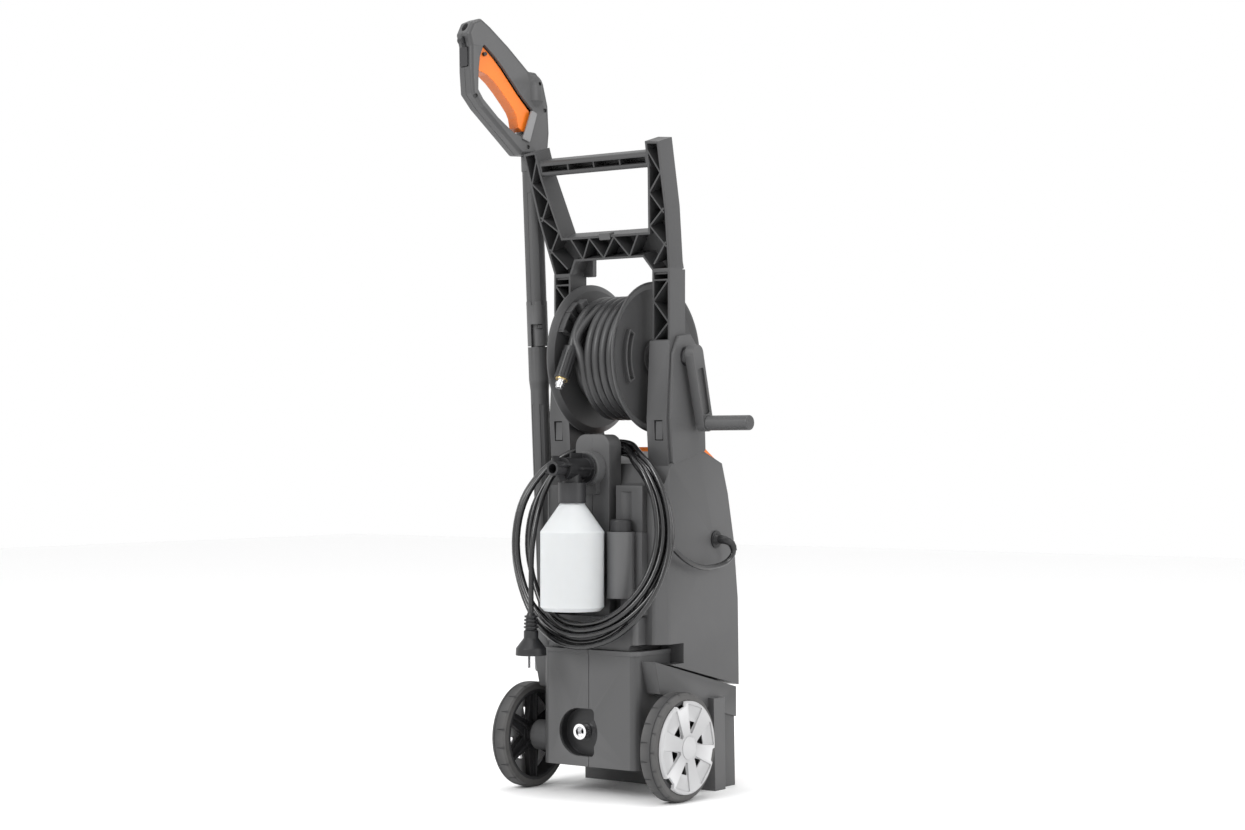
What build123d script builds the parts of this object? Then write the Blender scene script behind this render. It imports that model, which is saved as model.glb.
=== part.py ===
from build123d import *
import os
from math import atan, cos, degrees, pi, radians, sin, tan

# Pressure washer on a wheeled stand, millimetres.
# The model is drawn with x = 0 on the moulding seam, +X to the gun side, +Y to the rear,
# z = 0 on the ground and y = 0 on the wheel axle. It is moved to its own frame when written.

WALL = 3.0
FIT = 0.05
GAP = 0.4

# wheels and axle
WHEEL_R = 69.7
RIM_R = 60.0
WHEEL_IN = 108.7
WHEEL_OUT = 131.3
CAP_OUT = 137.0
AXLE_R = 6.0
SPOKES = 6

# hose reel and crank
REEL_Y = -48.2
REEL_Z = 568.7
FLANGE_R = 99.0
FLANGE_IN = 46.0
FLANGE_OUT = 53.0
DRUM_R = 50.0
HOSE_D = 12.0
WOUND_R = 83.0
FEED_X = 58.0
CRANK_IN = 105.5
CRANK_T = 13.0
CRANK_L = 89.0
CRANK_TILT = -15.0
GRIP_END = 184.0

# push handle, a frame that leans back above its kink
LEG_IN = 66.6
LEG_OUT = 94.1
LEG_REAR = -18.0
LEG_D = 35.0
KINK_Z = 683.0
LEAN = 16.7
HANDLE_TOP = 840.0
RIB = 2.2

# upper housing and base
BODY_X = 95.0
SIDE_X = 98.0
BASE_X = 77.0
BASE_REAR = 30.0
BASE_LOW = 38.0
BASE_TOP = 190.0
COLUMN_TOP = 589.0

# detergent bottle
BOTTLE_Y = 65.0
BOTTLE_R = 41.0
BOTTLE_LOW = 242.0
NOZZLE_Z = 424.0
SPARE_TOP = 361.0
SPARE_LIFT = 30.0

# lance, gun and their holder
LANCE_X = 124.5
LANCE_R = 14.0
LANCE_LEAN = 3.2
LANCE_FOOT_Y = -46.0
LANCE_FOOT_Z = 160.0
GUN_T = 15.0
GUN_YAW = 76.0
GUN_EDGE = 5.0

# supply cord and plug
CORD_D = 7.0
COIL_D = 28.0


def at(x=0, y=0, z=0, rx=0, ry=0, rz=0):
    return Location((x, y, z), (rx, ry, rz))


def plane_x(x):
    return Plane(origin=(x, 0, 0), x_dir=(0, 1, 0), z_dir=(1, 0, 0))


def plane_y(y):
    return Plane(origin=(0, y, 0), x_dir=(1, 0, 0), z_dir=(0, -1, 0))


def outline(points, radius=0.0):
    shape = Polygon(*points, align=None)
    if radius:
        shape = fillet(shape.vertices(), radius)
    return shape


def pull_x(face, low, amount):
    """A face drawn in (y, z), pulled along +X from x = low."""
    return extrude(plane_x(low) * face, amount, dir=(1, 0, 0))


def pull_y(face, rear, amount):
    """A face drawn in (x, z), pulled along -Y from y = rear."""
    return extrude(plane_y(rear) * face, amount, dir=(0, -1, 0))


def prism_x(points, low, high, radius=0.0):
    """A side outline of (y, z) points, pulled across from x = low to x = high."""
    return pull_x(outline(points, radius), low, high - low)


def prism_y(points, rear, depth, radius=0.0):
    """A rear outline of (x, z) points, pulled forward from y = rear."""
    return pull_y(outline(points, radius), rear, depth)


def prism_z(points, low, high, radius=0.0):
    """A plan outline of (x, y) points, pulled up from z = low to z = high."""
    return extrude(Plane.XY.offset(low) * outline(points, radius), high - low, dir=(0, 0, 1))


def rod(radius, length, x=0.0, y=0.0, z=0.0, axis="z"):
    """A cylinder that starts at the point and runs along +X, +Y or +Z."""
    turn = {"x": (0, 90, 0), "y": (-90, 0, 0), "z": (0, 0, 0)}[axis]
    shape = Cylinder(radius, length, align=(Align.CENTER, Align.CENTER, Align.MIN))
    return Location((x, y, z), turn) * shape


def tube(outer, inner, length, x=0.0, y=0.0, z=0.0, axis="z"):
    return rod(outer, length, x, y, z, axis) - rod(inner, length, x, y, z, axis)


def block(x0, x1, y0, y1, z0, z1, radius=0.0, edges="z"):
    shape = Box(x1 - x0, y1 - y0, z1 - z0)
    if radius:
        pick = {"x": Axis.X, "y": Axis.Y, "z": Axis.Z}
        for axis in edges:
            shape = fillet(shape.edges().filter_by(pick[axis]), radius)
    return Location(((x0 + x1) / 2, (y0 + y1) / 2, (z0 + z1) / 2)) * shape


def mirror_x(shape):
    return mirror(shape, about=Plane.YZ)


def half(shape, side):
    """The part of a shape on one side of the seam: side is 1 for +X, -1 for -X."""
    span = 400.0
    low = 0.0 if side > 0 else -span
    return shape & block(low, low + span, -span, span, -span, 3 * span)


def seam_groove(rear, low, high):
    """The fine line along the seam on a rear face at this y."""
    return block(-0.4, 0.4, rear - 0.9, rear + 6, low, high)


# ---------------------------------------------------------------- wheels

def tyre(side):
    """Solid tyre with a groove near its outer shoulder and two bands of blocks."""
    width = WHEEL_OUT - WHEEL_IN
    groove = width - 6.0
    profile = [(RIM_R, 0), (WHEEL_R - 2.5, 0), (WHEEL_R, 2.5), (WHEEL_R, groove - 0.6), (WHEEL_R - 1.2, groove),
               (WHEEL_R - 0.2, groove + 0.6), (WHEEL_R - 0.6, width - 2.5), (WHEEL_R - 3, width), (RIM_R, width)]
    ring = revolve(Plane.XZ * outline(profile), Axis.Z)
    for step in range(18):
        wide = Location((WHEEL_R, 0, 5.0)) * Box(1.4, 1.0, 14.0)
        narrow = Location((WHEEL_R, 0, width - 2.0)) * Box(2.4, 1.0, 6.0)
        ring -= at(rz=20.0 * step) * wide
        ring -= at(rz=20.0 * step + 10.0) * narrow
    return wheel_place(ring, side)


def wheel_place(shape, side):
    """Turns a part drawn along +Z from the wheel's inner face onto the axle."""
    placed = Location((WHEEL_IN, 0, WHEEL_R), (0, 90, 0)) * shape
    return placed if side > 0 else mirror_x(placed)


def rim(side):
    """Spoked plastic rim, open between its spokes."""
    width = WHEEL_OUT - WHEEL_IN
    ring = tube(RIM_R - GAP / 4, RIM_R - 4, width)
    hub = rod(15, width - 3, z=-2)
    boss = rod(21, 9, z=5)
    body = ring + hub + boss
    for step in range(SPOKES):
        angle = 360.0 / SPOKES * step
        spoke = prism_z([(10, -11), (57, -6.5), (57, 6.5), (10, 11)], 6, 14)
        rib = block(12, 57, -1.2, 1.2, 0.5, 14)
        body += at(rz=angle) * (spoke + rib)
    body -= rod(AXLE_R + FIT, width + 10, z=-5)
    body -= rod(13, 4, z=width - 6.5)
    return wheel_place(body, side)


def hubcap(side):
    """Dished cover: sloping recesses with windows between six spokes, every second spoke notched at the rim."""
    base = WHEEL_OUT - WHEEL_IN + GAP
    height = CAP_OUT - WHEEL_OUT - GAP
    disc = rod(59.4, height, z=base)
    top = disc.faces().sort_by(Axis.Z)[-1]
    disc = fillet(top.edges(), 2.2)
    disc -= rod(54, 1.6, z=base - 0.01)
    disc += rod(15, 0.8, z=base + height - 0.1)
    recess = prism_z([(0, -2.0), (35, -16.5), (35, 16.5), (0, 2.0)], 0, 9, 1.5)
    window = prism_z([(22, -1.5), (34, -8.0), (34, 8.0), (22, 1.5)], base - 1, base + 9, 1)
    notch = prism_z([(53, -7.5), (64, -13), (64, 13), (53, 7.5)], base - 1, base + 9, 2)
    for step in range(SPOKES):
        turn = at(rz=360.0 / SPOKES * (step + 0.25))
        disc -= turn * Location((19, 0, base + 2.0), (0, -3.5, 0)) * recess
        disc -= turn * window
        if step % 2 == 0:
            disc -= at(rz=360.0 / SPOKES * (step + 0.75)) * notch
    return wheel_place(disc, side)


def axle():
    length = 2 * (WHEEL_OUT - 3.6)
    return rod(AXLE_R, length, x=-length / 2, z=WHEEL_R, axis="x")


def axle_clips():
    """Push-on star washers that hold the wheels on the axle."""
    clips = []
    for side in (1, -1):
        ring = tube(11, AXLE_R, 1.5, x=WHEEL_OUT - 5.5, z=WHEEL_R, axis="x")
        clips.append(ring if side > 0 else mirror_x(ring))
    return clips


# ---------------------------------------------------------------- base

FENDER = [(20, 178), (-167, 132), (-167, 92), (-70, 116), (8, 136)]
SKIRT = [(-100, 122), (-166, 118), (-169, 0), (-104, 0)]


def base_solid(inset):
    """Base moulding: rear box, slanted fenders and the front skirt that stands on the ground."""
    x = BASE_X - inset
    rear = BASE_REAR - inset
    low = BASE_LOW + inset
    shape = block(-x, x, -160 + inset, rear, low, BASE_TOP - 6 - inset, 12 - inset)
    if inset == 0:
        lip = block(-x - 0.5, x + 0.5, -60, rear + 1.5, BASE_TOP - 6, BASE_TOP, 12)
        fender = prism_x(FENDER, -BODY_X - 3, BODY_X + 3)
        skirt = prism_x(SKIRT, -BODY_X, BODY_X)
        foot = prism_x([(-100, 122), (-126, 122), (-128, 0), (-104, 0)], -BODY_X - 12, BODY_X + 12)
        boss = rod(20, 2 * (WHEEL_IN - 4), x=-(WHEEL_IN - 4), z=WHEEL_R, axis="x")
        shape = shape + lip + fender + skirt + foot + boss
    return shape


def base():
    shape = base_solid(0)
    shape -= base_solid(WALL)
    shape -= block(-58, 58, -150, 18, BASE_TOP - 20, BASE_TOP + 5)
    shape -= block(50, 66, -100, -50, BASE_TOP - 20, BASE_TOP + 5)
    hollow = [(12, 172), (-163, 129), (-163, 96), (-70, 121), (5, 141)]
    shape -= prism_x(hollow, -BODY_X, -60) + prism_x(hollow, 60, BODY_X)
    inner = [(-107, 128), (-162, 114), (-165, -1), (-111, -1)]
    shape -= prism_x(inner, -BODY_X + WALL, BODY_X - WALL)
    shape -= rod(AXLE_R + GAP, 300, x=-150, z=WHEEL_R, axis="x")
    for side in (1, -1):
        for x in (88, 101):
            groove = block(x - 1.2, x + 1.2, -175, -166, -5, 116)
            shape -= groove if side > 0 else mirror_x(groove)
    opening = prism_y([(-8.5, 51), (17, 51), (17, 113), (-8.5, 113)], 40, 40, 6)
    opening += rod(31, 40, x=17, y=0, z=82, axis="y")
    shape -= opening
    return shape - seam_groove(BASE_REAR, BASE_LOW - 1, BASE_TOP + 1)


def inlet_cup():
    """Dark well behind the inlet opening, which carries the water inlet."""
    well = rod(33.5, 14, x=17, y=12.5, z=82, axis="y")
    well += block(-11, 20, 12.5, 26.5, 48, 116)
    well -= rod(30.5, 12, x=17, y=14.5, z=82, axis="y")
    well -= block(-8, 17, 14.5, 26.6, 51.5, 112.5)
    well += rod(13.5, 8, x=17, y=6.6, z=82, axis="y")
    return well - rod(5.9 + FIT, 20, x=17, y=0, z=82, axis="y")


def inlet_tube():
    """Threaded quick-connect spigot, whose tail runs forward over the axle to the pump."""
    spigot = rod(5.9, 38, x=17, y=-20, z=82, axis="y") + rod(10.2, 11, x=17, y=16.1, z=82, axis="y")
    spigot += rod(9.2, 1.7, x=17, y=14.6, z=82, axis="y")
    spigot -= rod(3.8, 60, x=17, y=-21, z=82, axis="y")
    return spigot - rod(6.4, 20, x=17, y=19, z=82, axis="y")


# ---------------------------------------------------------------- upper housing

BODY_SIDE = [(6, BASE_TOP + GAP), (6, 392), (-6, 405), (-16, 430), (-90, 446), (-133, 430), (-147, 390),
             (-161, 330), (-171, 250), (-174, 134), (20, 180), (20, BASE_TOP + GAP)]
COLUMN = [(-17, 400), (-10, 487), (-17, COLUMN_TOP), (-58, COLUMN_TOP), (-62, 575), (-91, 461), (-97, 430), (-60, 400)]


def body_plan(inset):
    x = SIDE_X - inset
    rear = 22 - inset
    return [(-x, -180), (x, -180), (x, -12), (x - 10, 4), (46, rear), (-46, rear), (-x + 10, 4), (-x, -12)]


def body_block(inset):
    """Main body, bevelled along its front corners."""
    side = offset(outline(BODY_SIDE), -inset) if inset else outline(BODY_SIDE)
    length = 2 * (SIDE_X + 2)
    shape = pull_x(side, -SIDE_X - 2, length)
    shape = shape & prism_z(body_plan(inset), 100, 460, 8 - inset)
    cut = SIDE_X + 47.0 - 0.7 * inset
    bevel = prism_z([(cut, -134), (cut, -400), (-40, -400)], 90, 470)
    return shape - bevel - mirror_x(bevel)


def pocket_block(inset):
    """Rear bulge that holds a spare nozzle, its flat shoulder and the block above."""
    shape = rod(18 - inset, 85 - inset, x=-50, y=28, z=258 + inset / 2)
    shape += block(-76.5 + inset, -43, -6.5, 18.5 - inset, 236 + inset, 342 - inset)
    return shape + block(-75 + inset, -33, -6, 15.5 - inset, 320, 402 - inset)


def plinth(inset):
    """Flat rear foot of the body, just inside the base's lip."""
    return block(-73 + inset, 73 - inset, -60, 27 - inset, BASE_TOP + GAP, 233 - inset, 6 - inset)


def tower(inset):
    """Tongue behind the housing that the coiled cord hangs on."""
    wide = 27 - inset
    face = Polygon((-wide, 200), (wide, 200), (wide, 468 - inset), (-wide, 468 - inset), align=None)
    face = fillet(face.vertices().sort_by(Axis.Y)[-2:], 15 - inset)
    return pull_y(face, 22 - inset, 26 - 2 * inset)


def column(inset):
    """Sleeve that grips one leg of the push handle and carries the reel's bush."""
    side = offset(outline(COLUMN), -inset) if inset else outline(COLUMN)
    shape = pull_x(side, LEG_IN - 3.5, BODY_X + 3 - LEG_IN)
    if inset == 0:
        pad = [(-19, 429), (-14, 487), (-20, 572), (-32, 595), (-58, 598), (-72, 584), (-78, 560), (-92, 470),
               (-93, 447)]
        shape += pull_x(outline(pad, 3), BODY_X - 1, 5)
    return shape


def leg_socket():
    """Room for the leg inside a column."""
    return block(LEG_IN - GAP, LEG_OUT + GAP, LEG_REAR - LEG_D - GAP, LEG_REAR + GAP, 446, 700)


def corner_recess(grow):
    """Recess at the body's rear corner, just above the base's lip."""
    return block(62 - grow, 112, -44 - grow, 30, 172 - grow, 198 + grow, 6, "y")


def housing():
    shape = body_block(0) + plinth(0)
    shape -= body_block(WALL) + plinth(WALL)
    shape += tower(0) - tower(WALL)
    shape += pocket_block(0) - pocket_block(WALL)
    shape += mirror_x(pocket_block(0) - pocket_block(WALL))
    for side in (1, -1):
        backing = corner_recess(WALL) & (body_block(0) + plinth(0))
        cuts = leg_socket() + corner_recess(0)
        cuts += block(75, 88, -30, 0, 460, 486)
        cuts += rod(13.0, 60, x=60, y=REEL_Y, z=REEL_Z, axis="x")
        cuts += rod(14.8, SPARE_TOP + SPARE_LIFT - 261, x=50, y=28, z=264)
        shape += column(0) + backing if side > 0 else mirror_x(column(0) + backing)
        shape -= cuts if side > 0 else mirror_x(cuts)
    shape -= block(-BASE_X - GAP, BASE_X + GAP, -160 - GAP, 60, 100, BASE_TOP + GAP)
    shape -= rod(6.0, 60, x=FEED_X, y=REEL_Y, z=420)
    shape -= rod(9.0, 40, x=-120, y=-118, z=330, axis="x")
    shape -= rod(19.0, 60, x=0, y=-190, z=300, axis="y")
    shape -= seam_groove(22, 236, 440)
    return shape - seam_groove(27, BASE_TOP, 234)


# ---------------------------------------------------------------- front cover and switch

COVER = [(-137.5, 431), (-151.2, 391), (-165.2, 331), (-175.2, 250), (-178.2, 136), (-184, 135), (-180.5, 250),
         (-171, 332), (-157, 393), (-143, 436), (-116, 452), (-112, 446)]


def front_cover():
    shape = prism_x(COVER, -80, 80)
    shape -= rod(19.5, 60, x=0, y=-200, z=300, axis="y")
    return shape


def switch_knob():
    body = rod(17, 14, y=-194, z=300, axis="y") + block(-4, 4, -199, -190, 285, 315, 2, "y")
    return body + rod(4, 24, y=-184, z=300, axis="y")


# ---------------------------------------------------------------- push handle

def lean(shape):
    """Moves a part drawn in the leaning frame's own plane onto the kink."""
    return Location((0, LEG_REAR, KINK_Z), (-LEAN, 0, 0)) * shape


def upper_frame(inset, depth):
    """The leaning part of the handle: outer outline less the hand opening and the lower arch."""
    top = (HANDLE_TOP - KINK_Z) / cos(radians(LEAN))
    outer = [(-LEG_OUT, -9), (-LEG_OUT, 0), (-103.9, 73.6), (-109.3, top - 2), (-88.5, top),
             (-85.6, 128), (-69.9, 47), (69.9, 47), (85.6, 128), (88.5, top), (109.3, top - 2),
             (103.9, 73.6), (LEG_OUT, 0), (LEG_OUT, -9), (LEG_IN, -9), (LEG_IN, -4), (54.8, 14.6),
             (-54.8, 14.6), (-LEG_IN, -4), (-LEG_IN, -9)]
    face = outline(outer)
    if inset:
        face = offset(face, -inset, kind=Kind.INTERSECTION)
    return pull_y(face, 0, depth)


def rib_line(a, b, depth):
    """A thin upright rib between two (x, z) points, from the rear face forward."""
    dx = b[0] - a[0]
    dz = b[1] - a[1]
    length = (dx * dx + dz * dz) ** 0.5
    angle = degrees(atan(dz / dx)) if dx else 90.0
    strip = Box(length + 8, depth, RIB)
    return Location(((a[0] + b[0]) / 2, -depth / 2, (a[1] + b[1]) / 2), (0, -angle, 0)) * strip


def grip_bar():
    """Hand grip across the top, slotted along its rear with three ribs in the slot."""
    low, high = 129.5, 150.0
    bar = block(-90, 90, -31, -0.6, low, high, 6, "x")
    bar -= block(-84, 84, -24, 1, low + 6.5, high - 6.0)
    for x in (-42, 0, 42):
        bar += block(x - 1.1, x + 1.1, -25, -2.5, low + 4, high - 4)
    return bar


def leg(depth, inset):
    low = 452.0
    shape = block(LEG_IN + inset, LEG_OUT - inset, LEG_REAR - depth, LEG_REAR + (1 if inset else 0),
                  low + inset, KINK_Z - 1 if inset == 0 else KINK_Z - 6)
    return shape


def handle_frame():
    frame = upper_frame(0, 31)
    pocket = upper_frame(WALL, 31 - WALL)
    frame -= Location((0, 1, 0)) * pocket
    zigzag = [(73, 8), (92, 30), (74, 55), (97, 74), (82, 98), (104, 122), (90, 152)]
    cross = [(-52, 44), (-34, 17), (-14, 44), (8, 17), (26, 44), (42, 17), (56, 44)]
    for side in (1, -1):
        points = [(side * x, z) for x, z in zigzag]
        for a, b in zip(points, points[1:]):
            frame += rib_line(a, b, 31) & upper_frame(1.0, 30.9)
    for a, b in zip(cross, cross[1:]):
        frame += rib_line(a, b, 31) & upper_frame(1.0, 30.9)
    frame += grip_bar()
    frame += block(-9, 9, -9, 1.2, 41, 49.5, 1.5, "y")
    shape = lean(frame)
    leg_ribs = [(LEG_IN + 2, 667), (LEG_OUT - 2, 667), (LEG_IN + 2, 640), (LEG_OUT - 2, 612), (LEG_IN + 2, 588)]
    for side in (1, -1):
        piece = leg(LEG_D, 0) - leg(LEG_D - WALL, WALL)
        for a, b in zip(leg_ribs, leg_ribs[1:]):
            rib = Location((0, LEG_REAR, 0)) * rib_line(a, b, LEG_D - 1)
            piece += rib & leg(LEG_D - 0.5, 0)
        piece += block(76, 87, LEG_REAR - LEG_D + 1, -12.5, 461, 485, 1.5, "y")
        piece += block(LEG_IN, LEG_OUT, LEG_REAR - LEG_D, LEG_REAR, 548, 590)
        piece -= rod(13.0, 60, x=60, y=REEL_Y, z=REEL_Z, axis="x")
        shape += piece if side > 0 else mirror_x(piece)
    shape += block(52, LEG_IN + 1, -56, -48, 679, 712, 2, "y")
    return shape


# ---------------------------------------------------------------- hose reel

def reel_place(shape):
    """Turns a part drawn along +Z at the reel's middle onto the reel's axis, +Z to +X."""
    return Location((0, REEL_Y, REEL_Z), (0, 90, 0)) * shape


def flange(side):
    """Dished side of the reel with a rolled rim."""
    profile = [(20, FLANGE_IN), (FLANGE_R - 8, FLANGE_IN), (FLANGE_R - 3, FLANGE_IN + 3),
               (FLANGE_R, FLANGE_IN + 5), (FLANGE_R, FLANGE_OUT), (FLANGE_R - 2.6, FLANGE_OUT),
               (FLANGE_R - 2.6, FLANGE_IN + 7), (FLANGE_R - 10, FLANGE_IN + 3.2), (20, FLANGE_IN + 3.2)]
    disc = revolve(Plane.XZ * outline(profile), Axis.Z)
    disc += tube(24, 20, 3, z=FLANGE_IN + 2)
    return reel_place(disc) if side > 0 else mirror_x(reel_place(disc))


def crescent(low, high, r0, r1, grow):
    """A curved wedge between two arcs, about the reel's axis."""
    ring = rod(r1 + grow, high - low, z=low) - rod(r0 - grow, high - low, z=low)
    sector = prism_z([(0, 0), (120, -62 - 1.5 * grow), (120, 62 + 1.5 * grow)], low, high)
    return ring & sector


def flange_right():
    shape = flange(-1)
    lip = crescent(FLANGE_IN + 2, FLANGE_IN + 10, 62, 70, 2.4) - crescent(FLANGE_IN + 1, FLANGE_IN + 12, 62, 70, 0)
    opening = crescent(FLANGE_IN - 3, FLANGE_IN + 12, 62, 70, 0)
    turn = at(rz=90)
    shape += mirror_x(reel_place(turn * lip))
    return shape - mirror_x(reel_place(turn * opening))


def flange_left():
    """Side with the moulded clip that parks the hose end."""
    shape = flange(1)
    clip = block(66, 86, -7, 7, FLANGE_IN - 13, FLANGE_IN + 1, 3, "x")
    fins = at(rz=150) * clip
    for angle in (114, 132):
        fins += at(rz=angle) * block(64, 90, -1, 1, FLANGE_IN - 8, FLANGE_IN + 1)
    arc = tube(89, 87, 9, z=FLANGE_IN - 8) & prism_z([(0, 0), (-60, 150), (-130, 90)], FLANGE_IN - 9, FLANGE_IN + 2)
    return shape + reel_place(fins + arc)


def reel_drum():
    """Hollow core, with sockets for the spindle and the water swivel."""
    length = 2 * FLANGE_IN
    core = tube(DRUM_R, DRUM_R - WALL, length, z=-FLANGE_IN)
    core += rod(22, 5, z=-FLANGE_IN) + rod(22, 5, z=FLANGE_IN - 5)
    web = rod(DRUM_R - 1, 4, z=-FLANGE_IN + 1) + rod(DRUM_R - 1, 4, z=FLANGE_IN - 5)
    core += web
    core += tube(19.6, 15, 5, z=-FLANGE_IN - 4.8) + tube(19.6, 15, 5, z=FLANGE_IN - 0.2)
    core -= rod(9.0, 30, z=-FLANGE_IN - 12)
    core -= rod(9.0 + FIT, 30, z=FLANGE_IN - 16)
    return reel_place(core)


def hose_winding():
    """Outer shape of the wound hose: one full layer, then five turns kept clear of the parked end."""
    low = -FLANGE_IN + 1
    pitch = 12.2
    core = tube(DRUM_R + HOSE_D, DRUM_R + GAP, 2 * FLANGE_IN - 2, z=low)
    core += rod(WOUND_R - HOSE_D / 2, 5 * pitch - 2, z=low) - rod(DRUM_R + 2, 5 * pitch, z=low - 1)
    for step in range(5):
        core += at(z=low + pitch * (step + 0.5)) * Torus(WOUND_R - HOSE_D / 2, HOSE_D / 2)
    return reel_place(core)


PARKED_END = (29.0, 28.0, 580.0)
PARKED_WAY = (3.0, 19.0, -43.0)


def connector_place(shape):
    """Puts a part drawn along +Z at the parked hose end, which points down and rearward."""
    return Plane(origin=PARKED_END, z_dir=PARKED_WAY) * shape


def hose_sleeve():
    body = rod(10.5, 44)
    for step in range(14):
        body -= at(rz=360 / 14 * step) * Location((10.9, 0, 24)) * Box(1.8, 1.5, 34)
    return connector_place(body - rod(8.2, 6, z=38.5))


def hose_nut():
    return connector_place(tube(8.1, 6.0, 7.0, z=38.6))


def hose_nipple():
    body = rod(5.9, 7, z=38.6) + rod(4.6, 12, z=45) + rod(6.2, 3, z=50)
    return connector_place(body - rod(2, 20, z=40))


def reel_spindle():
    """Keyed shaft from the drum out to the crank."""
    shaft = rod(8.95, CRANK_IN + 10 - (FLANGE_IN - 4), z=FLANGE_IN - 4)
    shaft += rod(14.6, 4, z=FLANGE_IN + 0.3)
    return mirror_x(reel_place(shaft))


def reel_swivel():
    """Fixed water joint that the reel turns on, with its feed stub pointing down."""
    shaft = rod(9.0, 97 - 36, z=36) + rod(9.8, 8.5, z=54.4)
    stub = rod(5.0, 22, x=FEED_X, y=REEL_Y, z=REEL_Z - 22)
    swivel = reel_place(shaft - rod(3.5, 30, z=30)) + stub
    return swivel - rod(3.0, 22, x=FEED_X, y=REEL_Y, z=REEL_Z - 23)


def reel_bushes():
    bushes = []
    right = tube(12.9, 8.95 + FIT, BODY_X + 3.6 - 63.5, z=63.5)
    bushes.append(mirror_x(reel_place(right)))
    left = tube(12.9, 9.0, 22, z=63.5)
    bushes.append(reel_place(left))
    return bushes


def crank_place(shape):
    """Puts a part drawn in the crank's own frame, arm down -Z, onto the shaft's end."""
    return Location((0, REEL_Y, REEL_Z), (CRANK_TILT, 0, 0)) * shape


def crank_arm():
    x0 = -CRANK_IN - CRANK_T
    arm = prism_x([(-12, 4), (12, 4), (11, -CRANK_L), (-11, -CRANK_L)], x0, -CRANK_IN)
    arm += rod(12, CRANK_T, x=x0, z=3, axis="x") + rod(11, CRANK_T, x=x0, z=-CRANK_L, axis="x")
    arm += rod(10.5, 5.2, x=-CRANK_IN - 0.2, z=0, axis="x")
    arm -= prism_x([(-7, -16), (7, -16), (6, -CRANK_L + 12), (-6, -CRANK_L + 12)], x0 - 1, x0 + 3, 3)
    arm -= rod(8.95, 18, x=-CRANK_IN - 10, axis="x")
    arm -= rod(6.0, 2.0, x=-CRANK_IN - 2.0, z=-CRANK_L, axis="x")
    arm -= rod(4.0, 30, x=x0 - 5, z=-CRANK_L, axis="x")
    return crank_place(arm)


def crank_pin():
    """Steel pin that the grip turns on."""
    pin = rod(4.0, 60, x=-CRANK_IN - 62, z=-CRANK_L, axis="x")
    return crank_place(pin + rod(6, 2, x=-CRANK_IN - 2.0, z=-CRANK_L, axis="x"))


def crank_grip():
    start = CRANK_IN + CRANK_T + GAP
    length = GRIP_END - start
    grip = rod(9.8, length, x=-GRIP_END, z=-CRANK_L, axis="x")
    end = grip.faces().sort_by(Axis.X)[0]
    grip = fillet(end.edges(), 3)
    grip -= rod(4.0 + FIT, 50, x=-start - 49.5, z=-CRANK_L, axis="x")
    return crank_place(grip)


# ---------------------------------------------------------------- bottle and its holder

def bottle_holder():
    """Ring on the tower that the bottle's neck pushes into."""
    ring = tube(22, 15.4, 16, x=0, y=22.2, z=NOZZLE_Z, axis="y")
    return ring + block(-12, 12, 22.2, 30, NOZZLE_Z - 34, NOZZLE_Z - 17, 3, "y")


def bottle():
    """Blown bottle with a straight shoulder cone."""
    profile = [(0, 0), (BOTTLE_R - 5, 0), (BOTTLE_R, 5), (BOTTLE_R, 101), (15, 138), (15, 150), (0, 150)]
    inner = [(0, 2), (BOTTLE_R - 6, 2), (BOTTLE_R - 2, 6), (BOTTLE_R - 2, 100), (13, 137), (13, 151), (0, 151)]
    solid = revolve(Plane.XZ * outline(profile), Axis.Z)
    hollow = revolve(Plane.XZ * outline(inner), Axis.Z)
    return at(y=BOTTLE_Y, z=BOTTLE_LOW) * (solid - hollow)


def bottle_cap():
    """Neck cap, mixing chamber and the plug-in spigot."""
    y0 = 23.0
    cap = rod(18, 26, y=BOTTLE_Y, z=BOTTLE_LOW + 138)
    cap -= rod(15 + GAP / 2, 12.2, y=BOTTLE_Y, z=BOTTLE_LOW + 137.9)
    cap += rod(12, 16, y=BOTTLE_Y, z=BOTTLE_LOW + 160)
    cap += rod(14, 47, y=y0 + 16, z=NOZZLE_Z, axis="y")
    cap += rod(15.0, 18, y=y0, z=NOZZLE_Z, axis="y")
    cap += tube(19.5, 12, 3, y=y0 + 16.5, z=NOZZLE_Z, axis="y")
    for angle in (0, 90):
        fin = Box(40, 24, 2.4)
        cap += Location((0, y0 + 34, NOZZLE_Z), (0, angle, 0)) * fin
    return cap - rod(3, 40, y=BOTTLE_Y, z=BOTTLE_LOW + 130)


def bottle_nozzle():
    """Turning jet on the front of the mixing chamber."""
    y0 = 86.4
    jet = rod(9, 20, y=y0, z=NOZZLE_Z, axis="y")
    for angle in (0, 90):
        jet += Location((0, y0 + 7, NOZZLE_Z), (0, angle + 20, 0)) * Box(34, 14, 2.4)
    return jet - rod(6.2, 16, y=y0 + 5, z=NOZZLE_Z, axis="y")


def spare_nozzle(side, top):
    """Spray tip parked in a pocket, cap up."""
    low = 266.0
    stem = rod(9, top - low - 14, x=50 * side, y=28, z=low)
    head = rod(14, 20, x=50 * side, y=28, z=top - 22)
    head = fillet(head.edges().sort_by(Axis.Z)[-1:], 3)
    collar = rod(13.5, 8, x=50 * side, y=28, z=low + 30)
    return stem + head + collar


# ---------------------------------------------------------------- lance and gun

def lance_place(shape):
    """Puts a part drawn up +Z from the lance's foot onto the parked lance."""
    return Location((LANCE_X, LANCE_FOOT_Y, LANCE_FOOT_Z), (-LANCE_LEAN, 0, 0)) * shape


JOINT_H = 428.0
LANCE_TOP = 681.6
PEG_TURN = 146.0
PEG_TRAVEL = 45.0


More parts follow.
